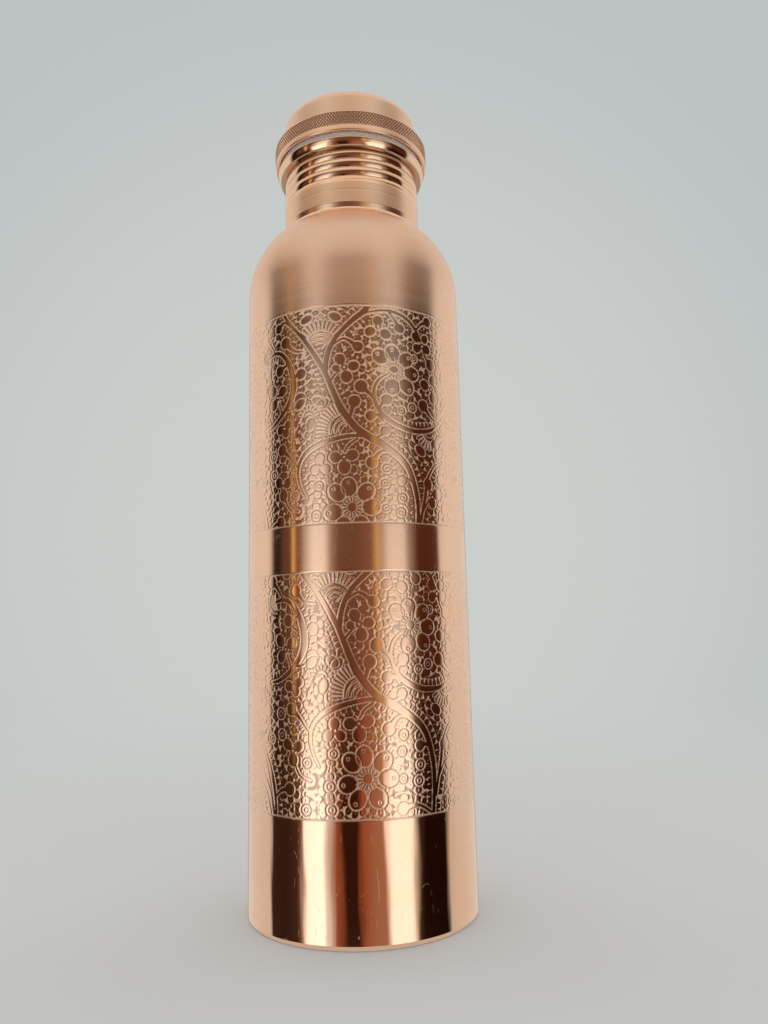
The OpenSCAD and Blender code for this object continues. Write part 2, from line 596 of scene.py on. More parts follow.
    def height(self) -> Array:
        """Height of the surface, from 0 in a cut line to 1 on a raised shape."""
        raised = smooth_step(0.03, -0.09, self.gap)
        cut = smooth_step(-0.06, 0.09, self.cut)
        return np.where(self.gap < 0.2, raised * cut, self.ground())


def draw_floral_repeat(e: Engraving) -> None:
    """Draws one repeat of the design: vines, buds, clovers, two large flowers and fans.

    The places are in millimetres from the middle of the repeat and from the foot of the upper band.

    Args:
        e: The engraving to draw in.
    """
    vines = (
        # the long S that crosses the band from its upper left to its lower right
        Stroke([(-24.5, 70), (-22, 65.8), (-19.5, 62.6), (-16, 58.6), (-13, 54), (-9.7, 48), (-7.6, 43),
                (-5.5, 38), (-3, 33.5), (0.3, 29.3), (3.7, 26.8), (7.8, 24.6)], 0.55, 0.9, 1.25),
        Stroke([(7.8, 24.6), (12, 21.6), (15, 19), (17, 16), (18.7, 11), (19.5, 6), (19.3, 0), (18.6, -8)],
               1.1, 0.9, 0.6),
        # the right limb of the V and its arch
        Stroke([(-9.2, 47.5), (-8.7, 51.5), (-7.6, 55), (-5.9, 58), (-3, 61.3), (0.3, 64.3), (3.2, 66.6),
                (5.5, 70)], 0.9, 0.75, 1.2),
        Stroke([(1.5, 64.8), (4.5, 66.2), (8, 67), (12.5, 67), (17, 65.4), (20.3, 62.6), (22.4, 59)],
               0.3, 0.75, 0.55),
        # the left hook
        Stroke([(-31, 56), (-27.5, 56.5), (-24.8, 55.6), (-22.6, 53.3), (-21, 50), (-20.1, 46.5), (-20, 43),
                (-21, 40), (-23, 37.2), (-26, 34.6), (-29.5, 32.6), (-33, 32)], 0.5, 1.15, 0.4),
        # the sweep from the large flower to the right
        Stroke([(11, 46.8), (8, 45), (6.3, 42.4), (5.9, 39.3), (7, 35.8), (9, 33), (12.3, 30.7),
                (16.5, 29.4), (21, 29.3), (25.3, 30.2), (29, 32.2), (32, 35.5)], 0.4, 0.85, 0.5),
        # the low crescent to the left
        Stroke([(4.5, 26.2), (0.3, 27), (-4.7, 26.5), (-9.7, 25.2), (-13.8, 23.5), (-16.3, 21.6),
                (-18, 19), (-18.4, 15.5), (-17.4, 11.8), (-15.5, 8.5)], 0.5, 0.85, 0.3),
        # the long vine at the right edge
        Stroke([(30.5, 70), (34, 64), (36.8, 58), (38.2, 52), (38, 46), (36, 40), (32.5, 35.5)],
               0.4, 1.1, 0.5),
        Stroke([(27.5, 33), (31.5, 28.5), (33.6, 24), (33.6, 18), (35.4, 11), (39, 5), (42.5, 0), (45, -8)],
               0.4, 1.1, 0.6),
        Stroke([(-38.5, 15), (-35.5, 10.5), (-33, 5), (-31.5, -1), (-31, -8)], 0.3, 0.8, 0.5),
        Stroke([(20, -1), (21.3, 4.5), (22.6, 9), (23.6, 14), (26.5, 18.5), (30, 20.5)], 0.5, 0.7, 0.3),
    )
    for vine in vines:
        e.stroke(vine)
    buds = (
        (-17.2, 47.7, 1.6, (-20.1, 44.6), (-19.4, 47.2)),
        (-17.5, 39.6, 1.8, (-22.4, 36.8), (-20, 37.1)),
        (-25.6, 50.2, 1.6, (-21, 49), (-22.2, 51.4)),
        (-23, 58.9, 1.7, (-16.4, 54.9), (-19.6, 55.6)),
        (-26, 64.3, 1.4, (-20.6, 63.6), (-23.4, 65.8)),
        (1.2, 55.1, 1.5, (-6.2, 56.3), (-3, 57.8)),
        (2, 42.4, 1.8, (8.7, 31.8), (7.2, 35.2), (5.6, 39)),
        (-0.2, 37.7, 1.7, (0.6, 29.5), (-1.6, 32)),
        (9.9, 38.3, 1.6, (8.3, 33.8), (8, 36.2)),
        (4.8, 33.1, 1.5, (8.6, 31.4), (7, 33.4)),
        (9.2, 28.4, 1.4, (5.6, 26.4), (7.8, 26.8)),
        (14.5, 61.8, 1.5, (11.2, 66.6), (13, 64.4)),
        (26.6, 51.8, 1.8, (23.4, 56), (24.6, 53.6)),
        (22.8, 37.8, 1.7, (30, 33.8), (26.4, 34.4)),
        (4.9, 18.6, 1.6, (11, 21.8), (7.8, 21.9)),
        (-33.6, 45.6, 1.6, (-38.4, 47), (-36, 47.6)),
        (-34.2, 38.6, 1.5, (-38.8, 41), (-36.4, 40.6)),
        (-32.6, 62, 1.6, (-28, 56.8), (-30, 59.6)),
        (-34.6, 23.6, 1.7, (-42.6, 21), (-38.2, 23.2)),
        (-24.6, 24.4, 1.6, (-18.4, 18), (-21.6, 22)),
        (30.6, 60.2, 1.6, (36, 60), (33.4, 61.8)),
        (32, 53, 1.7, (38, 49), (35, 52.4)),
        (27.6, 26.2, 1.4, (31.4, 28.2), (29.6, 28)),
        (29.6, 14.8, 1.6, (34.4, 13.4), (32, 15)),
        (31.2, 5.6, 1.6, (38, 6.6), (34.6, 7.2)),
        (-25.4, 1.8, 1.6, (-31.6, -1), (-28.6, 1.2)),
        (14.4, 13.4, 1.4, (18.4, 12), (16.6, 13.6)),
        (8.8, -3.6, 1.6, (18.6, -6), (13.6, -3.2)),
        (36.6, 29.6, 1.5, (33.4, 25), (35.6, 26.8)),
        (25.6, 66, 1.5, (20.6, 62.4), (23, 64.8)),
    )
    for x, v, radius, *stem in buds:
        e.bud(x, v, radius, *stem)
    clovers = (
        (-26.8, 41.8, ((-2.1, 2.3, 1.7), (2.2, 1.5, 1.6), (-1.6, -2, 1.6))),
        (-3.2, 48.6, ((-1.2, 2.4, 1.6), (2.7, 0.3, 1.5), (0.6, -2.8, 1.7), (-2.5, -0.2, 1.1))),
        (7.7, 61.8, ((-2.4, -1.6, 1.5), (-0.1, 1.7, 1.5), (2.1, -2.2, 1.6))),
        (23, 57.4, ((-2.2, 2.4, 1.5), (-1.9, -0.9, 1.4), (1.8, -0.7, 1.5), (1.2, 2.4, 1.3))),
        (26.6, 43.9, ((-2.7, 0.8, 1.6), (0.8, 2.8, 1.5), (0.7, -2.6, 1.6), (3, 0.4, 1.4))),
        (-3.7, 20.4, ((-2.5, 0, 1.6), (2.4, 0.5, 1.6), (0.1, -2.9, 1.8))),
        (24.9, 10.1, ((-0.9, 2.6, 1.6), (2.5, 0, 1.7), (0.6, -2.7, 1.5))),
        (-23.6, 31.2, ((-1.6, -0.2, 1.4), (1.5, 0.8, 1.4), (0.6, -1.4, 1.3))),
        (-24.2, 12.6, ((-1.8, 1.6, 1.5), (1.9, 1.2, 1.5), (0.1, -2.3, 1.6))),
        (-11, 18.4, ((-1.6, -1.2, 1.4), (1.6, -1.2, 1.4), (0, 1.8, 1.5))),
    )
    for x, v, lobes in clovers:
        e.clover(x, v, *lobes)
    for path in ([(-26, 40), (-25.2, 37.8), (-24.6, 35.8)], [(-4.6, 47.6), (-6.4, 46), (-7.8, 44.2)],
                 [(-3.4, 22), (-2, 24.2), (0.6, 26)], [(24, 8), (21.6, 4.4), (20, 1)],
                 [(28, 45), (33, 45.5), (37, 44)], [(-24, 10.6), (-21.8, 6), (-18.4, 4.6)]):
        e.stroke(Stroke(path, 0.35, 0.4, 0.4))
    e.flower(12.4, 48.1, 1.3, ((-4.2, 3.9), (-0.4, 5.2), (4.1, 3.6), (6, -0.6), (4.2, -5), (-0.6, -5.6)),
             (2.8, 2.4))
    e.flower(-1.4, 5, 1.4, ((-4.7, 4.6), (-0.9, 6.2), (4.4, 4.6), (6, 0), (-5.9, -1.4), (-3, -5.6),
                            (2.8, -5.4)), (3.0, 2.5))
    for x, v, radius in ((9.5, 16.8, 1.6), (8.8, 12.2, 1.5), (14.4, 8, 1.6), (13.8, 3.6, 1.6), (9, 4.6, 1.4),
                         (-11.4, 12, 1.5), (-12.4, 3, 1.7), (-19.6, 9.4, 1.5), (-28.8, 23, 1.7),
                         (-28.4, 17, 1.6), (-12, -3.4, 1.6), (-20, -3.6, 1.6), (26.4, -3.6, 1.6),
                         (-33, 15.6, 1.4), (19.6, 52.6, 1.3), (18.4, 36.6, 1.5), (14.6, 35.2, 1.4)):
        e.lobe(Lobe(x, v, radius), True)
        e.ring(x, v, radius * 0.42)
    e.fan(-10.5, 55.6, 4.7, 8.4, 38, 142, 11)
    e.fan(-2.4, 28.2, 5.4, 9.8, 112, 184, 10)
    e.fan(25, 29.4, 2.2, 5.2, 205, 335, 9)
    e.fan(-14.5, 33.5, 1.6, 3.4, 20, 160, 7)


@dataclass(frozen=True)
class EngravedBand:
    """One engraved band of the body.

    Args:
        name: Start of its pieces' names.
        low: Height of its lower edge.
        high: Height of its upper edge.
        shift: How far the design is moved along the band and up it.
        repeats: Repeats of the design round the body.
        columns: Grid columns in one repeat.
        panels: Pieces that the band is made in.
        depth: Depth of a cut line.
        back: How deep a panel reaches into the wall.
        border: Width of the plain edge.
    """

    name: str
    low: float
    high: float
    shift: Point = (0.0, 0.0)
    repeats: int = 3
    columns: int = 360
    panels: int = 6
    depth: float = 0.055
    back: float = 0.45
    border: float = 0.55

    def relief(self, radius: float) -> Array:
        """Height of the relief over one repeat, from 0 to 1, one row for each grid row.

        Args:
            radius: Radius of the raised parts.

        Returns:
            The heights.
        """
        repeat = TAU * radius / self.repeats
        rows = round((self.high - self.low) / (repeat / self.columns)) + 1
        x = (np.arange(self.columns) / self.columns - 0.5) * repeat
        v = np.linspace(0, self.high - self.low, rows)
        along, up = (x - self.shift[0]).astype(np.float32), (v - self.shift[1]).astype(np.float32)
        drawing = Engraving(*np.meshgrid(along, up), repeat)
        draw_floral_repeat(drawing)
        height = drawing.height()
        edge = np.minimum(v, v[-1] - v)[:, None]
        groove = smooth_step(0.05, 0.22, np.abs(edge - 0.35))
        return np.where(edge < self.border, groove, height * smooth_step(0, 0.2, edge - self.border))

    def surfaces(self, radius: float) -> list[Surface]:
        """The band's panels: grids on the cylinder, sunk by the relief, each closed by a back and edges.

        Args:
            radius: Radius of the raised parts.

        Returns:
            Closed surfaces with the value etched, 1 in a cut line and 0 on a raised shape.
        """
        relief = self.relief(radius)
        rows, total = relief.shape[0], self.columns * self.repeats
        angle = (np.arange(total + 1) / total - 0.5 / self.repeats) * TAU
        height = np.linspace(self.low, self.high, rows)
        made = []
        for first in range(0, total, total // self.panels):
            column = np.arange(first, first + total // self.panels + 1)
            raised = relief[:, column % self.columns]
            r = radius - self.depth * (1 - raised)
            a = angle[column]
            front = np.stack([r * np.sin(a), -r * np.cos(a), np.broadcast_to(height[:, None], r.shape)], -1)
            inner = radius - self.back
            back = np.stack([inner * np.sin(a), -inner * np.cos(a), np.full(len(a), self.low)], -1)
            back_top = back + [0, 0, self.high - self.low]
            made.append(self._closed(front, back, back_top, 1 - raised))
        return made

    @staticmethod
    def _closed(front: Array, back: Array, back_top: Array, etched: Array) -> Surface:
        """Joins a grid to two rows behind it: quads all round, and one flat face at each side.

        Args:
            front: The grid of points that is seen.
            back: Row of points behind its lower edge.
            back_top: Row of points behind its upper edge.
            etched: The value etched on the grid.

        Returns:
            The closed surface.
        """
        rows, columns = front.shape[:2]
        number = np.arange(rows * columns).reshape(rows, columns)
        low = rows * columns + np.arange(columns)
        high = low + columns

        def strip(a: Array, b: Array) -> Array:
            """Quads between two rows of vertices."""
            return np.stack([a[:-1], a[1:], b[1:], b[:-1]], -1).reshape(-1, 4)

        faces = [
            np.stack([number[:-1, :-1], number[:-1, 1:], number[1:, 1:], number[1:, :-1]], -1).reshape(-1, 4),
            strip(low, number[0]),
            strip(number[-1], high),
            strip(high, low),
            np.r_[number[:, 0], high[0], low[0]][None, :],
            np.r_[number[::-1, -1], low[-1], high[-1]][None, :],
        ]
        points = np.concatenate([front.reshape(-1, 3), back, back_top])
        values = {"etched": np.concatenate([etched.ravel(), np.zeros(2 * columns)])}
        return Surface(points, faces, values)


# ---------------------------------------------------------------- finishes


class Graph:
    """A node tree, with short ways to add nodes and join them."""

    def __init__(self, owner: bpy.types.ID, output: str = "ShaderNodeOutputMaterial") -> None:
        """Gives a material or a world an empty node tree with an output."""
        owner.use_nodes = True
        self.tree = owner.node_tree
        self.tree.nodes.clear()
        self.surface = self.add(output).inputs["Surface"]

    def add(self, kind: str, **settings: object) -> bpy.types.Node:
        """Adds a node. A setting whose name is a socket's sets or joins the socket, any other the node.

        Args:
            kind: The node's type.
            settings: Settings by name.

        Returns:
            The node.
        """
        node = self.tree.nodes.new(kind)
        for key, value in settings.items():
            label = key.replace("_", " ")
            found = [s for s in node.inputs if s.name.lower() == label.lower()]
            if hasattr(node, key):
                setattr(node, key, value)
            elif found:
                self.feed(found[0], value)
        return node

    def feed(self, socket: bpy.types.NodeSocket, value: object) -> None:
        """Joins a socket to another, or gives it a value."""
        if isinstance(value, bpy.types.NodeSocket):
            self.tree.links.new(value, socket)
        else:
            socket.default_value = value

    def math(self, operation: str, *values: object, clamp: bool = False) -> bpy.types.NodeSocket:
        """Adds a Math node on sockets or numbers and returns its result.

        Args:
            operation: What the node works out.
            values: Its sockets or numbers.
            clamp: Whether the result is kept from 0 to 1.

        Returns:
            The result's socket.
        """
        node = self.tree.nodes.new("ShaderNodeMath")
        node.operation = operation
        node.use_clamp = clamp
        for socket, value in zip(node.inputs, values):
            self.feed(socket, value)
        return node.outputs[0]

    def plus(self, a: object, b: object) -> bpy.types.NodeSocket:
        """The sum of two sockets or numbers."""
        return self.math("ADD", a, b)

    def minus(self, a: object, b: object) -> bpy.types.NodeSocket:
        """The first socket or number less the second."""
        return self.math("SUBTRACT", a, b)

    def times(self, a: object, b: object) -> bpy.types.NodeSocket:
        """The product of two sockets or numbers."""
        return self.math("MULTIPLY", a, b)

    def ramp(self, value: bpy.types.NodeSocket, stops: Sequence[tuple[float, Sequence[float]]],
             mode: str = "LINEAR") -> bpy.types.NodeSocket:
        """Adds a colour ramp with the given stops and returns its colour.

        Args:
            value: Place on the ramp.
            stops: Pairs of place and colour.
            mode: How it runs between stops.

        Returns:
            The colour's socket.
        """
        node = self.tree.nodes.new("ShaderNodeValToRGB")
        node.color_ramp.interpolation = mode
        elements = node.color_ramp.elements
        while len(elements) > 1:
            elements.remove(elements[-1])
        elements[0].position = stops[0][0]
        elements[0].color = (*stops[0][1], 1)
        for place, color in stops[1:]:
            element = elements.new(place)
            element.color = (*color, 1)
        self.tree.links.new(value, node.inputs[0])
        return node.outputs[0]

    def mix(self, part: object, a: object, b: object) -> bpy.types.NodeSocket:
        """Mixes two colours and returns the result.

        Args:
            part: Share of the second colour.
            a: First colour.
            b: Second colour.

        Returns:
            The mixed colour's socket.
        """
        node = self.tree.nodes.new("ShaderNodeMix")
        node.data_type = "RGBA"
        share, first, second, mixed = 0, 6, 7, 2
        self.feed(node.inputs[share], part)
        for index, color in ((first, a), (second, b)):
            self.feed(node.inputs[index], color if isinstance(color, bpy.types.NodeSocket) else (*color, 1))
        return node.outputs[mixed]

    def link(self, out: bpy.types.NodeSocket, into: bpy.types.NodeSocket) -> None:
        """Joins an output to an input."""
        self.tree.links.new(out, into)


class Zone(Enum):
    """Which relief value of its pieces a finish reads."""

    PLAIN = "plain"
    ENGRAVED = "engraved"
    GROOVED = "grooved"


@dataclass(frozen=True)
class CopperFinish:
    """A copper surface: turned or brushed round the axis, with soft stains and fine scratches.

    Args:
        name: Name of the material.
        color: Colour of the metal.
        roughness: Roughness of the plain surface.
        spread: How much further light spreads up and down than sideways, from 0 to 1.
        grain: How strongly the brushing shows in colour and roughness.
        bump: Depth of the brushing, in metres.
        lines_per_m: Brushing lines in a metre, in thousands.
        scratches: How strongly single scratches show.
        waviness: Depth of the sheet's slow waves, in metres.
        zone: The relief value that the finish reads.
        levels: Stops of (height in metres, roughness) for a finish that changes up the body.
        etched: Colour of the cut lines of the engraving.
        etched_rough: Roughness of those lines.
        groove_shade: Colour of the painted shade in grooves, thread valleys and under the bead.
    """

    name: str
    color: Color
    roughness: float
    spread: float = 0.5
    grain: float = 0.1
    bump: float = 2e-6
    lines_per_m: float = 3.0
    scratches: float = 0.0
    waviness: float = 8e-6
    zone: Zone = Zone.PLAIN
    levels: tuple[tuple[float, float], ...] = ()
    etched: Color = (1.0, 0.77, 0.60)
    etched_rough: float = 0.52
    groove_shade: Color = (0.08, 0.025, 0.012)

    def build(self) -> bpy.types.Material:
        """Makes the material.

        Returns:
            The material.
        """
        material = bpy.data.materials.new(self.name)
        g = Graph(material)
        place = g.add("ShaderNodeTexCoord").outputs["Object"]
        xyz = g.add("ShaderNodeSeparateXYZ", Vector=place).outputs
        radius = g.math("SQRT", g.plus(g.times(xyz["X"], xyz["X"]),
                                       g.times(xyz["Y"], xyz["Y"])))
        fine = self._turned(g, xyz, radius, 1000 * self.lines_per_m, 26.0)
        broad = self._turned(g, xyz, radius, 160 * self.lines_per_m, 9.0)
        stain = g.add("ShaderNodeTexNoise", Vector=place, Scale=34.0, Detail=4.0, Roughness=0.55)
        streak = g.plus(g.times(fine, 0.6), g.times(broad, 0.4))
        plain = self._base_roughness(g, xyz["Z"])
        unevenness = g.plus(g.times(g.minus(streak, 0.5), self.grain * 6),
                            g.times(g.minus(stain.outputs["Fac"], 0.5), 0.35))
        rough = g.times(plain, g.plus(1.0, unevenness))
        shade = g.plus(1.0, g.times(g.minus(streak, 0.5), self.grain * 0.9))
        warm = tuple(min(1.0, c * k) for c, k in zip(self.color, (1.02, 0.955, 0.90)))
        color = g.mix(g.ramp(stain.outputs["Fac"], ((0.35, (0, 0, 0)), (0.65, (1, 1, 1)))), self.color, warm)
        tint = g.add("ShaderNodeVectorMath", operation="SCALE")
        g.link(color, tint.inputs[0])
        g.link(shade, tint.inputs["Scale"])
        wave = g.add("ShaderNodeTexNoise", Vector=place, Scale=48.0, Detail=1.0).outputs["Fac"]
        grain_height = g.times(streak, g.times(plain, self.bump * 6))
        height = g.plus(grain_height, g.times(wave, self.waviness))
        color_out = tint.outputs[0]
        if self.scratches:
            mark = self._scratch(g, place)
            rough = g.plus(rough, g.times(mark, 0.3 * self.scratches))
            height = g.minus(height, g.times(mark, 6e-6 * self.scratches))
        if self.zone is Zone.ENGRAVED:
            etched = g.add("ShaderNodeAttribute", attribute_name="etched").outputs["Fac"]
            rough = g.plus(g.times(rough, g.minus(1.0, etched)),
                           g.times(etched, self.etched_rough))
            color_out = g.mix(etched, color_out, self.etched)
        # Painted shade: the groove value darkens grooves, thread valleys and the bead's underside towards a
        # near-black brown.
        if self.zone is Zone.GROOVED:
            groove = g.add("ShaderNodeAttribute", attribute_name="groove").outputs["Fac"]
            groove_shade = g.math("POWER", groove, 1.8, clamp=True)
            rough = g.plus(rough, g.times(groove_shade, 0.2))
            color_out = g.mix(groove_shade, color_out, self.groove_shade)
        bump = g.add("ShaderNodeBump", Height=height)
        bump.inputs["Distance"].default_value = 1.0
        bump.inputs["Strength"].default_value = 1.0
        shader = g.add("ShaderNodeBsdfPrincipled")
        shader.inputs["Metallic"].default_value = 1.0
        shader.inputs["Anisotropic"].default_value = self.spread
        shader.inputs["Anisotropic Rotation"].default_value = 0.25
        g.link(g.add("ShaderNodeTangent", direction_type="RADIAL", axis="Z").outputs[0],
               shader.inputs["Tangent"])
        g.link(color_out, shader.inputs["Base Color"])
        g.link(g.math("MAXIMUM", rough, 0.03), shader.inputs["Roughness"])
        g.link(bump.outputs[0], shader.inputs["Normal"])
        g.link(shader.outputs[0], g.surface)
        return material

    def _base_roughness(self, g: Graph, height: bpy.types.NodeSocket) -> object:
        """The roughness before the grain: one number, or a run of numbers up the body.

        Args:
            g: The node tree.
            height: Height above the foot, in metres.

        Returns:
            A number or a socket.
        """
        if not self.levels:
            return self.roughness
        low, high = self.levels[0][0], self.levels[-1][0]
        part = g.math("DIVIDE", g.minus(height, low), high - low, clamp=True)
        stops = [((z - low) / (high - low), (r, r, r)) for z, r in self.levels]
        return g.ramp(part, stops)

    @staticmethod
    def _turned(g: Graph, xyz: object, radius: bpy.types.NodeSocket, across: float,
                along: float) -> bpy.types.NodeSocket:
        """Lines left by turning: noise that is fine over radius and height and slow round the axis.

        Args:
            g: The node tree.
            xyz: The three coordinates.
            radius: Distance from the axis.
            across: How fine the noise is over radius and height.
            along: How fine it is round the axis.

        Returns:
            The noise's socket.
        """
        vector = g.add("ShaderNodeCombineXYZ")
        g.link(g.plus(g.times(xyz["Z"], across), g.times(radius, across)),
               vector.inputs["Z"])
        g.link(g.times(xyz["X"], along), vector.inputs["X"])
        g.link(g.times(xyz["Y"], along), vector.inputs["Y"])
        noise = g.add("ShaderNodeTexNoise", Scale=1.0, Detail=3.0, Roughness=0.6)
        g.link(vector.outputs[0], noise.inputs["Vector"])
        return noise.outputs["Fac"]

    @staticmethod
    def _scratch(g: Graph, place: bpy.types.NodeSocket) -> bpy.types.NodeSocket:
        """Sparse thin marks: the places where a stretched noise crosses its middle value.

        Args:
            g: The node tree.
            place: The coordinates.

        Returns:
            A socket that is 1 on a mark and 0 elsewhere.
        """
        total = None
        for turn_deg, scale in (((0.3, 0.2, 0.5), (260, 60, 45)), ((1.1, 0.4, 1.9), (300, 40, 60))):
            mapping = g.add("ShaderNodeMapping")
            g.link(place, mapping.inputs["Vector"])
            mapping.inputs["Rotation"].default_value = turn_deg
            mapping.inputs["Scale"].default_value = scale
            noise = g.add("ShaderNodeTexNoise", Scale=1.0, Detail=0.0)
            g.link(mapping.outputs[0], noise.inputs["Vector"])
            off_middle = g.math("ABSOLUTE", g.minus(noise.outputs["Fac"], 0.5))
            thin = g.math("LESS_THAN", off_middle, 0.0025)
            patch = g.add("ShaderNodeTexNoise", Vector=place, Scale=150.0 + scale[0], Detail=0.0)
            here = g.math("GREATER_THAN", patch.outputs["Fac"], 0.66)
            mark = g.times(thin, here)
            total = mark if total is None else g.math("MAXIMUM", total, mark)
        return total


@dataclass(frozen=True)
class SiliconeFinish:
    """Pale, slightly see-through silicone with dust in its surface.

    Args:
        name: Name of the material.
        color: Colour of the silicone.
    """

    name: str = "silicone_white"
    color: Color = (0.95, 0.925, 0.93)

    def build(self) -> bpy.types.Material:
        """Makes the material.

        Returns:
            The material.
        """
        material = bpy.data.materials.new(self.name)
        g = Graph(material)
        place = g.add("ShaderNodeTexCoord").outputs["Object"]
        cloud = g.add("ShaderNodeTexNoise", Vector=place, Scale=160.0, Detail=5.0).outputs["Fac"]
        grit = g.add("ShaderNodeTexNoise", Vector=place, Scale=2400.0, Detail=2.0).outputs["Fac"]
        shader = g.add("ShaderNodeBsdfPrincipled")
        dusty = tuple(c * 0.93 for c in self.color)
        g.link(g.mix(cloud, self.color, dusty), shader.inputs["Base Color"])
        g.link(g.plus(0.42, g.times(grit, 0.2)), shader.inputs["Roughness"])
        shader.inputs["Subsurface Weight"].default_value = 0.25
        shader.inputs["Subsurface Scale"].default_value = 0.002
        bump = g.add("ShaderNodeBump")
        bump.inputs["Distance"].default_value = 4e-6
        g.link(grit, bump.inputs["Height"])
        g.link(bump.outputs[0], shader.inputs["Normal"])
        g.link(shader.outputs[0], g.surface)
        return material


@dataclass
class Finishes:
    """All the finishes, each made once."""

    wall: bpy.types.Material
    engraved: bpy.types.Material
    polished: bpy.types.Material
    knurled: bpy.types.Material
    satin: bpy.types.Material
    silicone: bpy.types.Material

    @classmethod
    def make(cls) -> "Finishes":
        """Makes every material.

        Returns:
            The finishes.
        """
        copper = (0.955, 0.655, 0.49)
        return cls(
            wall=CopperFinish(
                "copper_wall", copper, 0.12, spread=0.72, grain=0.11, bump=2.2e-6, scratches=0.5,
                levels=((0.0, 0.06), (0.034, 0.075), (0.1055, 0.15), (0.1192, 0.17), (0.186, 0.24),
                        (0.2, 0.30), (0.2065, 0.36), (0.2225, 0.34), (0.2252, 0.13),
                        (0.2276, 0.12))).build(),
            engraved=CopperFinish(
                "copper_engraved", copper, 0.13, spread=0.6, grain=0.10, bump=1.2e-6, scratches=0.3,
                zone=Zone.ENGRAVED,
                levels=((0.034, 0.055), (0.1055, 0.075), (0.1192, 0.08), (0.188, 0.115))).build(),
            polished=CopperFinish(
                "copper_neck", (0.95, 0.66, 0.47), 0.1, spread=0.3, grain=0.05, bump=1e-6, scratches=0.3,
                waviness=3e-6, zone=Zone.GROOVED,
                levels=((0.2276, 0.24), (0.2290, 0.24), (0.2300, 0.31), (0.2364, 0.29), (0.2372, 0.08),
                        (0.2520, 0.07))).build(),
            knurled=CopperFinish(
                "copper_knurled", (0.90, 0.59, 0.42), 0.22, spread=0.2, grain=0.08, bump=1e-6,
                zone=Zone.GROOVED).build(),
            satin=CopperFinish(
                "copper_satin", (0.93, 0.655, 0.49), 0.33, spread=0.3, grain=0.14, bump=2e-6,
                lines_per_m=2.4).build(),
            silicone=SiliconeFinish().build(),
        )


# ---------------------------------------------------------------- pieces


@dataclass
class Assembly:
    """What every sub-assembly needs: the sizes and the finishes.

    Args:
        sizes: The measures.
        finishes: The materials.
    """

    sizes: Measures
    finishes: Finishes

    def place(self, surface: Surface, name: str, node: str, body: Body, slot: str,
              material: bpy.types.Material, sharp_deg: float = 40.0) -> None:
        """Makes a piece, dresses it, and lets it stand for a node.

        Args:
            surface: The piece's surface.
            name: The piece's name.
            node: The node that it stands for.
            body: The body that it rides on.
            slot: Name of a material slot; not used.
            material: Its material.
            sharp_deg: Edges that turn by more than this stay crisp.
        """
        obj = surface.to_object(name, sharp_deg)
        obj.data.materials.append(material)
        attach(obj, body.value)
        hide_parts(node)
        LOG.info("%s: %d vertices on %s", name, len(obj.data.vertices), body.value)


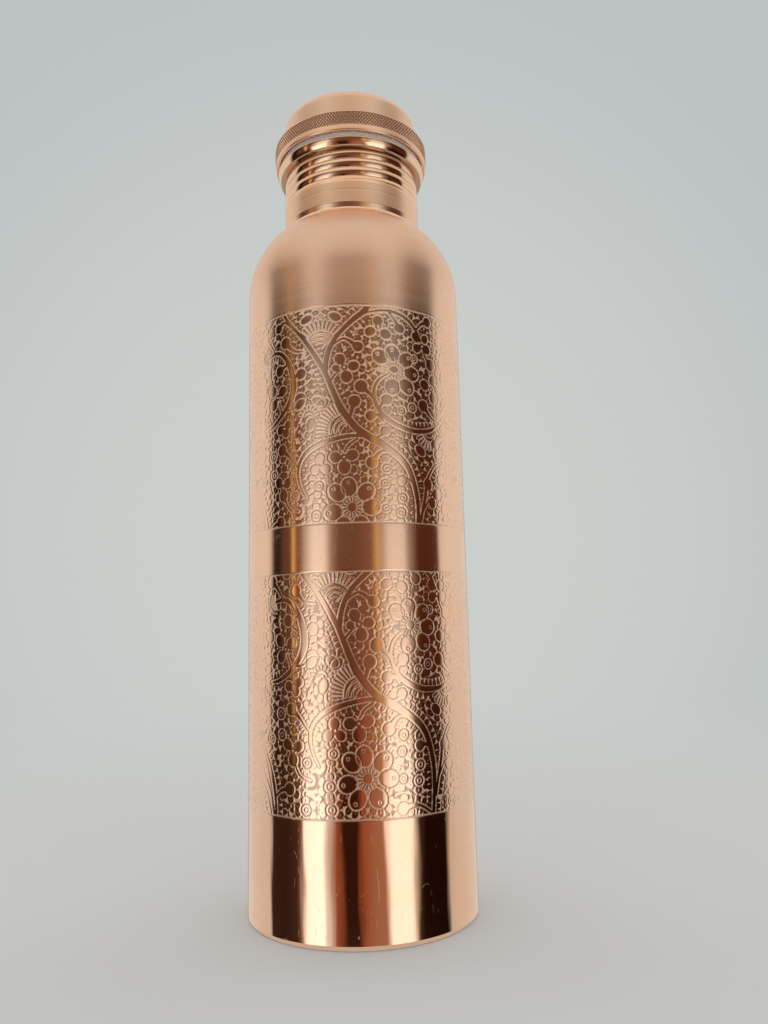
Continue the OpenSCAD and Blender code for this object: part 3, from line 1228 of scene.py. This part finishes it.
@dataclass
class BottleBody(Assembly):
    """The body shell with its two engraved bands, and the base disc.

    Args:
        bands: The engraved bands, from the lower to the upper.
        recess: How far the wall lies back behind a band's panels.
    """

    bands: tuple[EngravedBand, ...] = (
        EngravedBand("lower_band", 34.4, 105.5, shift=(3.3, 6.6)),
        EngravedBand("upper_band", 119.2, 188.2),
    )
    recess: float = 0.3

    def outline(self) -> Array:
        """The shell's outline: up the wall and over the shoulder, then back down inside to the hem.

        Returns:
            Rows of (radius, height).
        """
        s = self.sizes
        r, inside = s.body_r, s.body_r - s.sheet
        foot = (r - s.foot_r, s.foot_r)
        shoulder = (r - s.shoulder_r, s.shoulder_z)
        cove_x = s.neck_r + s.cove_r
        reach = s.shoulder_r + s.cove_r
        cove = (cove_x, s.shoulder_z + math.sqrt(reach**2 - (cove_x - shoulder[0]) ** 2))
        meet_deg = math.degrees(math.atan2(cove[1] - shoulder[1], cove[0] - shoulder[0]))
        top_deg = 180 + math.degrees(math.asin((cove[1] - s.seam_z) / s.cove_r))
        inner_arc = s.shoulder_r - s.sheet
        bore = s.neck_r - s.sheet
        inner_deg = math.degrees(math.acos((bore - shoulder[0]) / inner_arc))
        wall = [rule((foot[0] - s.hem, 0), (foot[0], 0)), arc(foot, s.foot_r, -90, 0)]
        for band in self.bands:
            back = r - self.recess
            wall += [rule((r, band.low), (back, band.low)), rule((back, band.high), (r, band.high))]
        return join(
            *wall,
            arc(shoulder, s.shoulder_r, 0, meet_deg, 0.5),
            arc(cove, s.cove_r, 180 + meet_deg, top_deg),
            rule((bore, s.seam_z), (bore, s.seam_z - 0.2)),
            arc(shoulder, inner_arc, inner_deg, 0, 0.8),
            arc(foot, s.foot_r - s.sheet, 0, -90),
            rule((foot[0] - s.hem, s.sheet), (foot[0] - s.hem, s.sheet / 2)),
        )

    def base_outline(self) -> Array:
        """The base disc's outline, from its lower centre round the skirt to its upper centre.

        Returns:
            Rows of (radius, height).
        """
        s = self.sizes
        low = s.low("base_disc")
        rise, panel = 1.0, 25.0
        top = s.high("base_disc") - rise
        disc = top - s.sheet
        inside = s.body_r - s.sheet
        slope = panel + 1.5
        return join(
            rule((0, disc + rise), (panel - 0.8, disc + rise), 3),
            arc((panel - 0.8, disc + rise - 0.6), 0.6, 90, 50, 0.1),
            arc((slope + 0.8, disc + 0.6), 0.6, 230, 270, 0.1),
            rule((slope + 2, disc), (inside - s.sheet - 0.5, disc), 3),
            arc((inside - s.sheet - 0.5, disc - 0.5), 0.5, 90, 0, 0.1),
            rule((inside - s.sheet, low), (inside, low)),
            arc((inside - 0.8, top - 0.8), 0.8, 0, 90, 0.1),
            rule((slope + 2, top), (slope + 0.8, top)),
            arc((slope + 0.8, top + 0.6), 0.6, 270, 230, 0.1),
            arc((panel - 0.8, top + rise - 0.6), 0.6, 50, 90, 0.1),
            rule((panel - 2, top + rise), (0, top + rise), 3),
        )

    def build(self) -> None:
        """Makes the shell, the panels and the base."""
        shell = turn(self.outline(), 364)
        self.place(shell, "body_wall", "body_shell", Body.BOTTLE, "copper_brushed", self.finishes.wall)
        for band in self.bands:
            for number, panel in enumerate(band.surfaces(self.sizes.body_r), 1):
                self.place(panel, f"{band.name}_{number}", "body_shell", Body.BOTTLE, "copper_brushed",
                           self.finishes.engraved, 75.0)
        base = turn(self.base_outline(), 180)
        self.place(base, "base_plate", "base_disc", Body.BOTTLE, "copper_brushed", self.finishes.wall)


@dataclass
class Neck(Assembly):
    """The neck ring: a lap inside the collar, a satin wall, the rolled thread and the mouth's bead.

    Args:
        columns: Points round a ring.
        ring_step: Distance between rings on the thread.
        root: How far the thread's groove lies below the neck's wall.
        wall: Thickness of the threaded wall.
        ridge_in: How far the inner ridges stand into the bore.
        lower: Share of the pitch that the outer ridge's lower flank takes.
        waist: How far the neck is drawn in where it meets the collar.
        waist_h: Height of that stretch.
        bead_r: Outer radius of the bead.
        bead_h: Height of the bead.
        bead_curve: Radius of the bead's slanting side.
        score_z: Height of a fine turned line on the plain wall.
    """

    columns: int = 300
    ring_step: float = 0.12
    root: float = 0.4
    wall: float = 0.5
    ridge_in: float = 0.5
    lower: float = 0.62
    waist: float = 0.34
    waist_h: float = 1.8
    bead_r: float = 26.2
    bead_h: float = 3.3
    bead_curve: float = 6.0
    score_z: float = 234.0

    def bead(self, inner_r: float, root_r: float) -> Array:
        """The bead's outline: a flat underside, a slanting outer side, and a rounded top edge.

        Args:
            inner_r: Radius of the bore.
            root_r: Radius at the bottom of the thread's groove.

        Returns:
            Rows of (radius, height).
        """
        high = self.sizes.mouth_z
        low, crest, slant, hem, edge = high - self.bead_h, high - 0.5, 5.0, 0.5, 0.5
        side = (self.bead_r - self.bead_curve * math.cos(math.radians(slant)),
                crest + self.bead_curve * math.sin(math.radians(slant)))
        under = math.degrees(math.asin((side[1] - low - hem) / (self.bead_curve - hem)))
        foot = (side[0] + (self.bead_curve - hem) * math.cos(math.radians(under)), low + hem)
        return join(rule((root_r, low), (foot[0], low), 0.5), arc(foot, hem, -90, -under, 0.1),
                    arc(side, self.bead_curve, -under, -slant, 0.2),
                    arc((self.bead_r - edge, high - edge), edge, 0, 90, 0.12),
                    arc((inner_r + edge, high - edge), edge, 90, 180, 0.12))

    def build(self) -> None:
        """Makes the neck as one turned surface, with the thread added to its rings."""
        s = self.sizes
        root_r = s.neck_r - self.root
        bore_r = root_r - self.wall
        lap_r, lap_in = s.neck_r - s.sheet, s.neck_r - 2 * s.sheet
        plain_top = s.thread_z - 1.2
        thread_top = s.mouth_z - self.bead_h
        lap_low = s.low("neck_sleeve")
        waist_top = (s.neck_r, s.seam_z + self.waist_h)
        parts = {
            "lap": join(rule((lap_in, lap_low), (lap_r, lap_low)),
                        rule((lap_r, s.seam_z), (s.neck_r - self.waist - 0.05, s.seam_z)),
                        rule((s.neck_r - self.waist, s.seam_z + 0.1),
                             (s.neck_r - 0.06, waist_top[1] - 0.25), 0.4),
                        rule(waist_top, (s.neck_r, self.score_z - 0.12), 0.2),
                        rule((s.neck_r - 0.02, self.score_z - 0.04), (s.neck_r - 0.02, self.score_z + 0.04)),
                        rule((s.neck_r, self.score_z + 0.12), (s.neck_r, plain_top - 0.2), 0.2)),
            "outer": rule((root_r, plain_top), (root_r, thread_top - 0.05), self.ring_step),
            "bead": self.bead(bore_r, root_r),
            "inner": rule((bore_r, thread_top), (bore_r, plain_top - 0.4), self.ring_step * 2),
            "bore": join(rule((lap_r, plain_top - 0.7), (lap_r, s.seam_z + 2)),
                         rule((lap_in, s.seam_z + 1.8), (lap_in, lap_low + 0.3))),
        }
        relief = {name: np.zeros((len(part), self.columns)) for name, part in parts.items()}
        groove = {name: np.zeros((len(part), self.columns)) for name, part in parts.items()}
        heights = parts["outer"][:, 1]
        lead = 1 - smooth_step(plain_top - 0.1, plain_top + 0.9, heights)[:, None]
        ridge = screw_ridge(heights, self.columns, s.thread_z - s.pitch, s.pitch, s.neck_turns + 1,
                            self.lower)
        relief["outer"] = self.root * np.maximum(lead, ridge)
        # Painted shade: thread valleys, the thread just under the bead and the bead's underside get groove
        # values that the finish darkens.
        under = smooth_step(thread_top - 0.9, thread_top - 0.1, heights)[:, None]
        groove["outer"] = np.maximum(0.55 * (1 - np.maximum(lead, ridge)) ** 2, 0.8 * under)
        bead_low = parts["bead"][:, 1] < thread_top + 0.25
        groove["bead"][bead_low] = 0.6
        inner = screw_ridge(parts["inner"][:, 1], self.columns, s.thread_z + s.pitch / 2, s.pitch,
                            s.neck_turns - 0.5)
        relief["inner"] = -self.ridge_in * inner
        surface = turn(np.vstack(list(parts.values())), self.columns, np.vstack(list(relief.values())))
        surface.values["groove"] = np.vstack(list(groove.values())).ravel()
        self.place(surface, "neck_ring", "neck_sleeve", Body.BOTTLE, "copper_polished",
                   self.finishes.polished, 50.0)


@dataclass
class Seal(Assembly):
    """The silicone gasket.

    Args:
        corner: Radius of its edges.
        inner: Inner radius.
        outer: Outer radius, unless the node is smaller.
    """

    corner: float = 0.35
    inner: float = 22.3
    outer: float = 25.6

    def build(self) -> None:
        """Makes the gasket: a flat ring with rounded edges."""
        s, c = self.sizes, self.corner
        low, high = s.low("gasket"), s.high("gasket")
        inner, outer = self.inner, min(self.outer, s.high("gasket", 0))
        outline = join(
            arc((outer - c, low + c), c, -90, 0, 0.06), arc((outer - c, high - c), c, 0, 90, 0.06),
            arc((inner + c, high - c), c, 90, 180, 0.06), arc((inner + c, low + c), c, 180, 270, 0.06))
        self.place(turn(outline, 220), "gasket_ring", "gasket", Body.SEAL, "silicone", self.finishes.silicone)


@dataclass
class Lid(Assembly):
    """The lid: knurled flange, crown, threaded plug and its end disc.

    Args:
        knurls: Diamonds round the flange.
        knurl_depth: Depth of the knurl.
        steps: Grid points across a diamond.
        columns: Points round the plain pieces.
    """

    knurls: int = 160
    knurl_depth: float = 0.42
    steps: int = 6
    columns: int = 300

    def flange(self) -> Surface:
        """The flange: a turned ring whose grip is cut by two crossing sets of grooves.

        The grooves make diamonds: at each point of the grip the surface is sunk by the knurl's depth
        times the distance, from 0 to 1, to the middle of its diamond. The value groove is that share.

        Returns:
            The surface.
        """
        s = self.sizes
        node = "knurled_flange"
        lip, top, grip_r = s.low(node), s.high(node), s.high(node, 0)
        seat, web_top = s.high("gasket"), s.low("lid_crown")
        band_r, crown_r = grip_r - 0.2, s.high("lid_crown", 0)
        knurl_low, edge = 255.5, 0.5
        grip_high = top - edge
        step = TAU * grip_r / (self.knurls * self.steps)
        grip = rule((grip_r, knurl_low), (grip_r, grip_high), step)
        before = join(rule((s.pocket_r, lip + 0.12), (s.pocket_r - 0.05, lip + 0.02)),
                      arc((band_r - edge, lip + edge), edge, -70, 0, 0.08),
                      rule((band_r, lip + 1.1), (band_r - 0.02, knurl_low - 0.25), 0.4),
                      rule((band_r - 0.12, knurl_low - 0.12), (band_r - 0.1, knurl_low - 0.05)))
        after = join(arc((grip_r - edge - 0.05, grip_high), edge, 8, 90, 0.08),
                     rule((crown_r + 1.2, top), (crown_r, top)),
                     rule((crown_r, web_top), (s.plug_r, web_top)),
                     rule((s.plug_r, seat), (s.pocket_r, seat)))
        outline = np.vstack([before, grip, after])
        columns = self.knurls * self.steps
        around = np.arange(columns) / self.steps
        rise = (grip[:, 1] - knurl_low) / (step * self.steps)
        lean = 0.8
        waves = [np.abs(2 * ((around[None, :] + sign * lean * rise[:, None]) % 1.0) - 1) for sign in (1, -1)]
        sunk = 1 - np.minimum(1, np.minimum(1 - waves[0], 1 - waves[1]) / 0.8)
        end = np.minimum(grip[:, 1] - knurl_low, grip_high - grip[:, 1])[:, None]
        relief = np.zeros((len(outline), columns))
        chamfer = 0.3 * (1 - smooth_step(0.0, 0.55, end))
        relief[len(before):len(before) + len(grip)] = -self.knurl_depth * np.maximum(sunk, chamfer)
        ring = turn(outline, columns, relief)
        # Painted shade: the finish darkens the knurl's grooves by this value.
        ring.values["groove"] = -relief.ravel() / self.knurl_depth
        return ring

    def crown(self) -> Surface:
        """The crown: a spun cup with a rounded edge and a top that rises slightly to its middle.

        Returns:
            The surface.
        """
        s = self.sizes
        low, high, r = s.low("lid_crown"), s.high("lid_crown"), s.high("lid_crown", 0)
        wall, edge, dome = 0.7, 3.2, 0.35
        centre = (r - edge, high - dome - edge)
        flat = rule((r - edge, 0), (0, 0), 1.5)
        rise = dome * (1 - (flat[:, 0] / (r - edge)) ** 2)
        outer_top = np.stack([flat[:, 0], high - dome + rise], 1)
        inner_top = outer_top[::-1] - [0, wall]
        outline = join(
            inner_top, arc(centre, edge - wall, 90, 0), rule((r - wall, low + 1), (r - wall, low)),
            rule((r - 0.1, low), (r, low + 0.1)), rule((r, low + 1), (r, centre[1]), 2.0),
            arc(centre, edge, 0, 90, 0.15), outer_top)
        return turn(outline, self.columns)

    def plug(self) -> Surface:
        """The plug: a tube with a screw ridge on its skin, out to the node's own radius.

        Returns:
            The surface.
        """
        s = self.sizes
        low, high = s.low("plug_sleeve"), s.high("plug_sleeve")
        crest = s.high("plug_sleeve", 0)
        r, wall = s.plug_r, 0.7
        skin = rule((r, low + 0.3), (r, high), 0.18)
        rest = join(rule((r - wall, high), (r - wall, low)), rule((r - 0.3, low), (r - 0.15, low + 0.05)))
        relief = np.zeros((len(skin) + len(rest), self.columns))
        relief[:len(skin)] = (crest - r) * screw_ridge(skin[:, 1], self.columns, s.plug_thread_z, s.pitch,
                                                       s.plug_turns, power=1.3) ** 1.5
        tube = turn(np.vstack([skin, rest]), self.columns, relief)
        tube.values["groove"] = np.zeros(relief.size)
        return tube

    def plug_disc(self) -> Surface:
        """The plug's end: a shallow cup with a raised middle.

        Returns:
            The surface.
        """
        s = self.sizes
        low, high, r = s.low("plug_end"), s.high("plug_end"), s.high("plug_end", 0)
        wall = 0.6
        outline = join(
            rule((0, low + 0.15), (9, low + 0.15), 3), arc((10.4, low + 1.5), 1.5, 250, 270, 0.3),
            arc((r - 0.5, low + 0.5), 0.5, -90, 0, 0.1), rule((r, high), (r - wall, high)),
            rule((r - wall, low + wall + 0.4), (r - wall - 0.4, low + wall)),
            rule((10, low + wall), (0, low + wall), 3))
        return turn(outline, 200)

    def build(self) -> None:
        """Makes the lid's four pieces."""
        f, lid = self.finishes, Body.LID
        self.place(self.flange(), "flange_ring", "knurled_flange", lid, "copper_knurled", f.knurled, 60.0)
        self.place(self.crown(), "crown_cup", "lid_crown", lid, "copper_satin", f.satin)
        self.place(self.plug(), "plug_tube", "plug_sleeve", lid, "copper_polished", f.polished, 50.0)
        self.place(self.plug_disc(), "plug_disc", "plug_end", lid, "copper_satin", f.satin)


# ---------------------------------------------------------------- studio


def pale(level: float) -> Color:
    """Light of a warm white wall."""
    return level, level * 0.95, level * 0.87


def warm(level: float) -> Color:
    """Light of a dim brown surface."""
    return level, level * 0.78, level * 0.6


def brown(level: float) -> Color:
    """Light of a dark brown surface."""
    return level, level * 0.5, level * 0.3


def red(level: float) -> Color:
    """Light of a dark red-brown surface."""
    return level, level * 0.3, level * 0.14


def gold(level: float) -> Color:
    """Light of a gold-coloured edge."""
    return level, level * 0.66, level * 0.24


def white(level: float) -> Color:
    """Light of a lamp's card."""
    return level, level * 0.98, level * 0.94


@dataclass(frozen=True)
class CardRow:
    """A row of cards and gaps round the bottle, at one height as seen from it.

    Args:
        rise_deg: Height of the row above the horizon.
        cards: Pairs of direction and light. The direction is in degrees from the front (-Y) to +X.
    """

    rise_deg: float
    cards: tuple[tuple[float, Color], ...]

    def light(self, g: Graph, part: bpy.types.NodeSocket) -> bpy.types.NodeSocket:
        """The row's light for a share of the turn, from 0 at -180 degrees to 1 at 180.

        Args:
            g: The node tree.
            part: Share of the turn.

        Returns:
            The light's socket.
        """
        back = ((-180, pale(0.34)), (-165, pale(0.40)), (-156, pale(0.74)))
        ahead = tuple((-d, c) for d, c in reversed(back))
        stops = [(d / 360 + 0.5, tuple(x / 2 for x in c)) for d, c in (*back, *self.cards, *ahead)]
        double = g.add("ShaderNodeVectorMath", operation="SCALE")
        double.inputs["Scale"].default_value = 2.0
        g.link(g.ramp(part, stops), double.inputs[0])
        return double.outputs[0]


@dataclass(frozen=True)
class Studio:
    """A plain pale room: light cards and dark gaps in front, pale walls behind and above, a pale floor.

    Args:
        ceiling: Light from above.
        backdrop: What the camera sees behind the bottle, lit there by a painted pool of light.
        backdrop_edge: The darker backdrop far from the bottle, where the painted pool of light fades.
        rows: The cards, from the lowest row to the highest.
        paper: Colour of the floor.
        glow: Light that the floor adds.
    """

    ceiling: Color = (0.76, 0.735, 0.68)
    backdrop: Color = (0.595, 0.615, 0.595)
    backdrop_edge: Color = (0.50, 0.54, 0.545)
    paper: float = 0.80
    glow: float = 0.06
    rows: tuple[CardRow, ...] = (
        CardRow(-14, (
            (-104, pale(0.66)), (-101, pale(0.5)), (-98, brown(0.04)), (-80, brown(0.03)),
            (-66, brown(0.05)),
            (-61, brown(0.16)), (-57, white(1.5)), (-37, white(1.6)), (-32, pale(0.7)), (-27, red(0.3)),
            (-21, red(0.18)), (-16, red(0.03)), (-4, red(0.03)), (2, red(0.32)), (13, brown(0.34)),
            (22, brown(0.36)), (27, white(1.4)), (48, white(1.4)), (53, pale(0.7)), (57, brown(0.05)),
            (63, red(0.012)), (89, red(0.012)), (95, pale(0.6)), (104, pale(0.66)))),
        CardRow(7, (
            (-104, pale(0.78)), (-99, pale(0.5)), (-96, brown(0.02)), (-88, brown(0.02)), (-80, brown(0.13)),
            (-72, brown(0.1)), (-69, gold(0.95)), (-65, red(0.25)), (-60, brown(0.2)), (-52, pale(0.6)),
            (-46, white(0.92)), (-34, white(0.92)), (-27, warm(0.34)), (-20, brown(0.16)), (0, brown(0.15)),
            (14, brown(0.2)), (19.5, gold(0.68)), (24, warm(0.42)), (33, pale(0.8)), (47, white(0.78)),
            (53, warm(0.36)), (64, red(0.08)), (90, red(0.09)), (94, pale(0.72)), (104, pale(0.78)))),
        CardRow(23, (
            (-106, pale(0.74)), (-98, pale(0.4)), (-94, brown(0.015)), (-86, brown(0.015)),
            (-78, brown(0.05)), (-69, gold(0.24)), (-62, brown(0.07)), (-50, warm(0.12)), (-42, pale(0.19)),
            (-30, pale(0.2)), (-22, warm(0.18)), (-14, brown(0.16)), (0, brown(0.13)), (14, brown(0.14)),
            (20, gold(0.22)), (26, warm(0.17)), (36, pale(0.18)), (46, pale(0.18)), (54, warm(0.12)),
            (64, brown(0.03)), (88, brown(0.03)), (94, pale(0.4)), (104, pale(0.74)))),
        CardRow(32, (
            (-104, pale(0.68)), (-88, warm(0.66)), (-66, warm(0.66)), (-42, pale(0.9)), (-8, warm(0.82)),
            (10, warm(0.84)), (36, pale(0.9)), (50, pale(0.72)), (64, warm(0.5)), (80, warm(0.5)),
            (92, pale(0.6)), (104, pale(0.70)))),
    )

    def build_world(self) -> None:
        """Makes the room's light.

        The direction's angle round the vertical picks the card in each row, and its height mixes the
        rows, up into the ceiling and down into the floor's light. The camera sees a backdrop with a
        painted pool of light: lighter behind the bottle, darker farther out.
        """
        world = bpy.data.worlds.new("studio")
        bpy.context.scene.world = world
        g = Graph(world, "ShaderNodeOutputWorld")
        direction = g.add("ShaderNodeTexCoord").outputs["Generated"]
        xyz = g.add("ShaderNodeSeparateXYZ", Vector=direction).outputs
        angle = g.math("ARCTAN2", xyz["X"], g.times(xyz["Y"], -1.0))
        part = g.plus(g.math("DIVIDE", angle, TAU), 0.5)
        sway = g.add("ShaderNodeTexNoise", Vector=direction, Scale=6.0, Detail=2.0).outputs["Fac"]
        swayed = g.plus(part, g.times(g.minus(sway, 0.5), 0.035))
        lit: object = pale(0.58)
        floor_step, ceiling_step = (-28.0, -24.0), (33, 42)
        steps = [floor_step]
        steps += [(low.rise_deg + 1, high.rise_deg - 1) for low, high in zip(self.rows, self.rows[1:])]
        for number, (row, (low, high)) in enumerate(zip(self.rows, steps)):
            light = row.light(g, part if number else swayed)
            lit = g.mix(self._above(g, xyz["Z"], low, high), lit, light)
        lit = g.mix(self._above(g, xyz["Z"], *ceiling_step), lit, self.ceiling)
        seen = g.add("ShaderNodeLightPath").outputs["Is Camera Ray"]
        # Painted pool of light on the backdrop: lighter straight behind the bottle, darker farther out.
        aside = g.plus(g.times(xyz["X"], xyz["X"]),
                       g.math("POWER", g.minus(xyz["Z"], 0.12), 2.0))
        far = g.ramp(aside, ((0.02, (0, 0, 0)), (0.36, (1, 1, 1))), "EASE")
        color = g.mix(seen, lit, g.mix(far, self.backdrop, self.backdrop_edge))
        background = g.add("ShaderNodeBackground")
        g.link(color, background.inputs["Color"])
        g.link(background.outputs[0], g.surface)

    @staticmethod
    def _above(g: Graph, height: bpy.types.NodeSocket, low_deg: float,
               high_deg: float) -> bpy.types.NodeSocket:
        """A share that goes from 0 to 1 as a direction rises from one angle to another."""
        stops = [(0.5 + 0.5 * math.sin(math.radians(a)), (v, v, v))
                 for a, v in ((low_deg, 0), (high_deg, 1))]
        return g.ramp(g.plus(g.times(height, 0.5), 0.5), stops, "EASE")

    def build_floor(self) -> None:
        """Makes the floor: a pale disc that fades out into the backdrop."""
        radius = 2500.0
        rings = np.r_[0.0, np.geomspace(60.0, radius, 24)]
        angle = round_angles(96)
        points = np.stack([rings[:, None] * np.sin(angle), -rings[:, None] * np.cos(angle),
                           np.zeros((len(rings), len(angle)))], -1).reshape(-1, 3)
        number = np.arange(len(points)).reshape(len(rings), -1)
        beside = np.roll(number, -1, axis=1)
        quads = np.stack([number[:-1], number[1:], beside[1:], beside[:-1]], -1).reshape(-1, 4)
        floor = Surface(points, [quads]).to_object("floor", 180)
        material = bpy.data.materials.new("floor_paper")
        g = Graph(material)
        place = g.add("ShaderNodeTexCoord").outputs["Object"]
        away = g.add("ShaderNodeVectorMath", operation="LENGTH")
        g.link(place, away.inputs[0])
        fade = g.ramp(g.math("DIVIDE", away.outputs["Value"], radius * MM),
                      ((0.06, (1, 1, 1)), (0.36, (0, 0, 0))), "EASE")
        paper = g.add("ShaderNodeBsdfDiffuse")
        grain = g.add("ShaderNodeTexNoise", Vector=place, Scale=900.0, Detail=3.0).outputs["Fac"]
        tint = (self.paper * 0.93, self.paper, self.paper * 1.07)
        g.link(g.mix(grain, tint, tuple(c * 1.04 for c in tint)), paper.inputs["Color"])
        glow = g.add("ShaderNodeEmission", Strength=self.glow)
        lit = g.add("ShaderNodeAddShader")
        g.link(paper.outputs[0], lit.inputs[0])
        g.link(glow.outputs[0], lit.inputs[1])
        clear = g.add("ShaderNodeBsdfTransparent")
        both = g.add("ShaderNodeMixShader")
        g.link(fade, both.inputs[0])
        g.link(clear.outputs[0], both.inputs[1])
        g.link(lit.outputs[0], both.inputs[2])
        g.link(both.outputs[0], g.surface)
        floor.data.materials.append(material)
        floor.visible_glossy = False

    @staticmethod
    def build_camera() -> None:
        """Makes the camera: near the bottle, below its middle, looking up towards the lid."""
        distance, height = 277.9, 85.1
        pitch, yaw, roll = (math.radians(a) for a in (8.81, 1.914, -1.302))
        lens, sensor = 28.83, 36.0
        forward = Vector((math.sin(yaw) * math.cos(pitch), math.cos(yaw) * math.cos(pitch), math.sin(pitch)))
        level = forward.cross(Vector((0, 0, 1))).normalized()
        upright = level.cross(forward)
        right = level * math.cos(roll) + upright * math.sin(roll)
        up = upright * math.cos(roll) - level * math.sin(roll)
        data = bpy.data.cameras.new("camera")
        data.sensor_width = sensor
        data.lens = lens
        data.clip_start = 0.01
        camera = bpy.data.objects.new("camera", data)
        bpy.context.scene.collection.objects.link(camera)
        turned = Matrix((right, up, -forward)).transposed().to_4x4()
        camera.matrix_world = Matrix.Translation(Vector((0, -distance, height)) * MM) @ turned
        bpy.context.scene.camera = camera

    def build(self) -> None:
        """Makes the room, the floor and the camera, and shows colours as they are."""
        self.build_camera()
        self.build_world()
        self.build_floor()
        bpy.context.scene.view_settings.view_transform = "Standard"
        bpy.context.scene.view_settings.look = "None"


def main() -> None:
    """Builds the studio and the bottle."""
    logging.basicConfig(level=logging.INFO, format="%(name)s: %(message)s")
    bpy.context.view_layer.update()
    Studio().build()
    sizes = Measures()
    finishes = Finishes.make()
    for assembly in (BottleBody, Neck, Seal, Lid):
        assembly(sizes, finishes).build()


if __name__ == "__main__":
    main()
